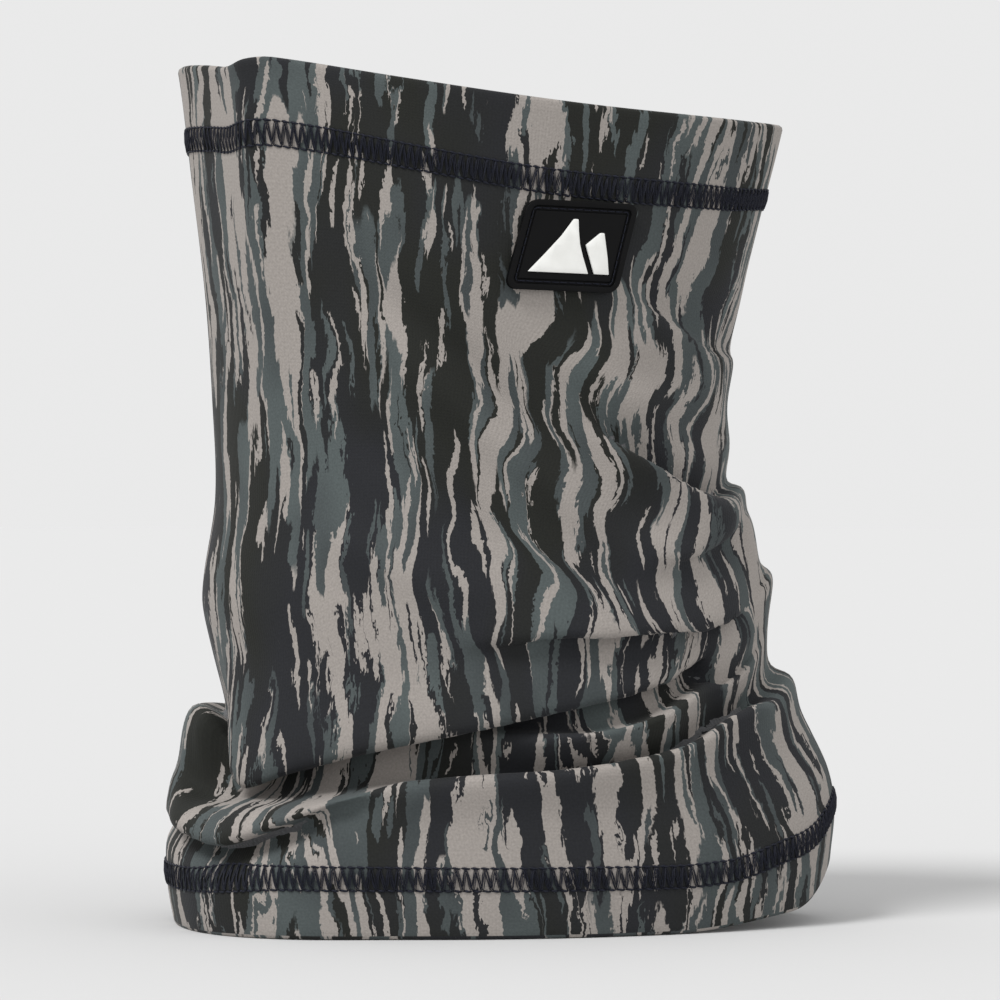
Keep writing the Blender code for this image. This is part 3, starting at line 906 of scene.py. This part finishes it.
def printed_fabric():
    """Stretch knit, printed with long ragged strokes: slate over taupe, and dark over both."""
    finish = Finish(
        "printed_fabric",
        Roughness=0.80,
        Specular_IOR_Level=0.15,
        Sheen_Weight=0.06,
        Sheen_Roughness=0.4,
    )
    flat, u, v = finish.flat_place()

    def streak(across, along, offset, detail=2.0, sideways=u):
        """Noise drawn out along the cloth: across and along are the sizes of its spots, and each
        offset gives another pattern."""
        place = finish.node("CombineXYZ", None, sideways / across + offset, v / along, offset)
        return finish.noise(place, 1.0, detail)

    torn = streak(0.014, 0.030, 5.5).over(0.52, 0.16)  # where the edges of the strokes are rough
    ragged = (streak(0.0011, 0.0042, 3.1) - 0.5) * (torn * 0.0036 + 0.0006)
    serrated = (streak(0.0008, 0.0013, 29.0, 1.0) - 0.5) * 0.0013
    wobble = (streak(0.0045, 0.0120, 17.0, 1.0) - 0.5) * 0.0040
    lean = (streak(0.030, 0.060, 8.7) - 0.5) * 0.022  # so that the strokes aren't all upright
    painted = u + ragged + serrated + wobble + lean

    slate = finish.mix(streak(0.035, 0.050, 83.0).over(0.5, 0.25), SLATE, DARK_SLATE)
    dark = finish.mix(streak(0.06, 0.08, 55.0).over(0.5, 0.15), CHARCOAL, OLIVE_BLACK)
    colour = TAUPE
    # Strokes of one width, length and paint at a time. The higher their level, the fewer they are.
    for across, along, offset, level, paint in (
        (0.0074, 0.075, 9.1, 0.505, slate),
        (0.0086, 0.105, 24.3, 0.520, dark),
        (0.0036, 0.044, 41.0, 0.595, dark),
        (0.0040, 0.042, 71.0, 0.640, slate),
        (0.0030, 0.036, 63.0, 0.625, TAUPE),
    ):
        strokes = streak(across, along, offset, 1.0, painted).over(level, 0.007)
        colour = finish.mix(strokes, colour, paint)
    speck = finish.noise(flat, 1500.0, 1.0) * 0.45 + 0.78
    multiply = {"data_type": "RGBA", "blend_type": "MULTIPLY"}
    finish.feed("Base Color", finish.node("Mix", multiply, 1.0, colour, speck))
    finish.bump(knit(u, v, 0.0010, 0.0008), 0.00010, 0.5)
    return finish.material


def lining_fabric():
    """Brushed knit, dark and matt."""
    finish = Finish("lining_fabric", Roughness=0.95, Sheen_Weight=0.5, Sheen_Roughness=0.6)
    flat, u, v = finish.flat_place()
    nap = finish.noise(flat, 900.0, 4.0)
    cloud = finish.noise(flat, 70.0, 3.0)
    colour = finish.mix(nap.over(0.5, 0.4), rgb(44, 45, 47), rgb(64, 65, 68))
    colour = finish.mix(cloud.over(0.55, 0.3) * 0.35, colour, rgb(80, 81, 84))
    finish.feed("Base Color", colour)
    finish.bump(nap * 0.6 + knit(u, v, 0.0014, 0.0011) * 0.4, 0.00025, 0.6)
    return finish.material


def navy_thread():
    """Textured sewing thread: filaments that catch the light here and there."""
    finish = Finish("navy_thread", Roughness=0.55, Specular_IOR_Level=0.2)
    fibre = finish.noise(finish.node("TexCoord", output=3), 4200.0, 2.0)
    finish.feed("Base Color", finish.mix(fibre.over(0.58, 0.3), NAVY, rgb(36, 39, 54)))
    finish.feed("Roughness", fibre * 0.35 + 0.38)
    finish.bump(fibre, 0.00008, 0.7)
    return finish.material


def rubber(name, low, high, roughness):
    """Moulded rubber with a fine grain and a slightly uneven colour."""
    finish = Finish(name, Roughness=roughness, Specular_IOR_Level=0.1)
    place = finish.node("TexCoord", output=3)
    grain = finish.noise(place, 2600.0, 3.0)
    bloom = finish.noise(place, 140.0, 3.0)
    finish.feed("Base Color", finish.mix(bloom.over(0.5, 0.5), low, high))
    finish.feed("Roughness", bloom * 0.18 + (roughness - 0.09))
    finish.bump(grain, 0.00005, 0.45)
    return finish.material


def label_satin():
    """Woven satin, bright along the floats of its weave."""
    finish = Finish("label_satin", Roughness=0.42, Sheen_Weight=0.1)
    flat, u, v = finish.flat_place()
    weft = (v * (2 * math.pi / 0.0005)).math("SINE")
    warp = (u * (2 * math.pi / 0.0004) + weft * 0.8).math("SINE")
    slub = finish.noise(flat, 300.0, 2.0)
    colour = finish.mix(slub.over(0.5, 0.4), rgb(226, 225, 220), rgb(240, 239, 235))
    finish.feed("Base Color", colour)
    finish.feed("Roughness", slub * 0.2 + 0.34)
    finish.bump(weft * 0.3 + warp * 0.2 + 0.5, 0.00004, 0.5)
    return finish.material


def set_camera():
    """A long lens at the height of the tube's middle."""
    bpy.ops.object.camera_add(location=CAMERA_PLACE, rotation=(math.pi / 2, 0, 0))
    camera = bpy.context.object
    camera.data.sensor_width = SENSOR
    camera.data.lens = SENSOR * -CAMERA_PLACE[1] / VIEW_WIDTH
    bpy.context.scene.camera = camera


def add_light(name, place, softness, strength):
    """A soft sun that shines from a place towards the tube's middle."""
    bpy.ops.object.light_add(type="SUN", location=place)
    light = bpy.context.object
    light.name = name
    light.data.angle = softness
    light.data.energy = strength
    direction = np.array(SUN_AIM) - np.array(place)
    pitch = math.acos(-direction[2] / np.linalg.norm(direction))
    light.rotation_euler = (pitch, 0, math.atan2(direction[1], direction[0]) - math.pi / 2)


def set_studio():
    """A plain pale floor, two soft suns and an even white sky."""
    bpy.ops.mesh.primitive_plane_add(size=FLOOR_SIZE)
    floor = bpy.context.object
    floor.name = "studio_floor"
    grey = (FLOOR_GREY, FLOOR_GREY, FLOOR_GREY, 1)
    finish = Finish("studio_floor", Roughness=1.0, Specular_IOR_Level=0.0, Base_Color=grey)
    floor.data.materials.append(finish.material)
    add_light("key_light", (-1.1, -1.1, 2.0), softness=0.36, strength=2.15)
    add_light("fill_light", (1.4, -1.2, 0.6), softness=0.9, strength=0.35)
    bpy.context.scene.view_settings.view_transform = "Standard"
    world = bpy.data.worlds.new("studio")
    bpy.context.scene.world = world
    world.use_nodes = True
    sky = world.node_tree.nodes["Background"].inputs
    sky["Color"].default_value = (1, 1, 1, 1)
    sky["Strength"].default_value = SKY_STRENGTH


def main():
    """Makes the studio and all pieces."""
    random = np.random.default_rng(7)
    set_camera()
    set_studio()
    cloth = Cloth()
    thread = navy_thread()
    black = rubber("black_rubber", rgb(6, 6, 7), rgb(11, 11, 12), 0.50)
    white = rubber("white_rubber", rgb(226, 226, 222), rgb(238, 238, 235), 0.40)

    tube = dress(add_printed_tube(cloth), printed_fabric(), "printed_fabric", ["outer_tube"])
    lining = dress(add_lining(cloth), lining_fabric(), "lining_fabric", ["lining_tube"])
    length = cloth.along[-1]
    low = BOTTOM_HEM_DEPTH - SEAM_WIDTH
    outside, inside = 0.0001, -(FABRIC + LAYER_GAP + LINING)
    sewn = add_hem_seam(cloth, "top_hem", length - HEM_DEPTH, "top_edge", thread, random)
    sewn += add_hem_seam(cloth, "bottom_hem", low, "tube", thread, random)
    back = add_upright_seam(cloth, "back_seam", "back_seam_looper_thread", outside, thread, random)
    sewn.append(back)
    inner = add_upright_seam(cloth, "lining_seam", "lining_seam_thread", inside, thread, random)

    place = patch_ground(cloth)
    for piece, finish, slot, node in (
        (add_patch_base(place), black, "black_rubber", "patch_base"),
        (add_channel_stitches(place), thread, "navy_thread", "patch_stitching_thread"),
        (add_peak("main_peak", place, MAIN_PEAK), white, "white_rubber", "emblem_main_peak"),
        (add_peak("side_peak", place, SIDE_PEAK), white, "white_rubber", "emblem_side_peak"),
    ):
        sewn.append(dress(piece, finish, slot, [node], "top_edge"))
    label = dress(add_care_label(cloth), label_satin(), "label_satin", ["care_label"])


main()
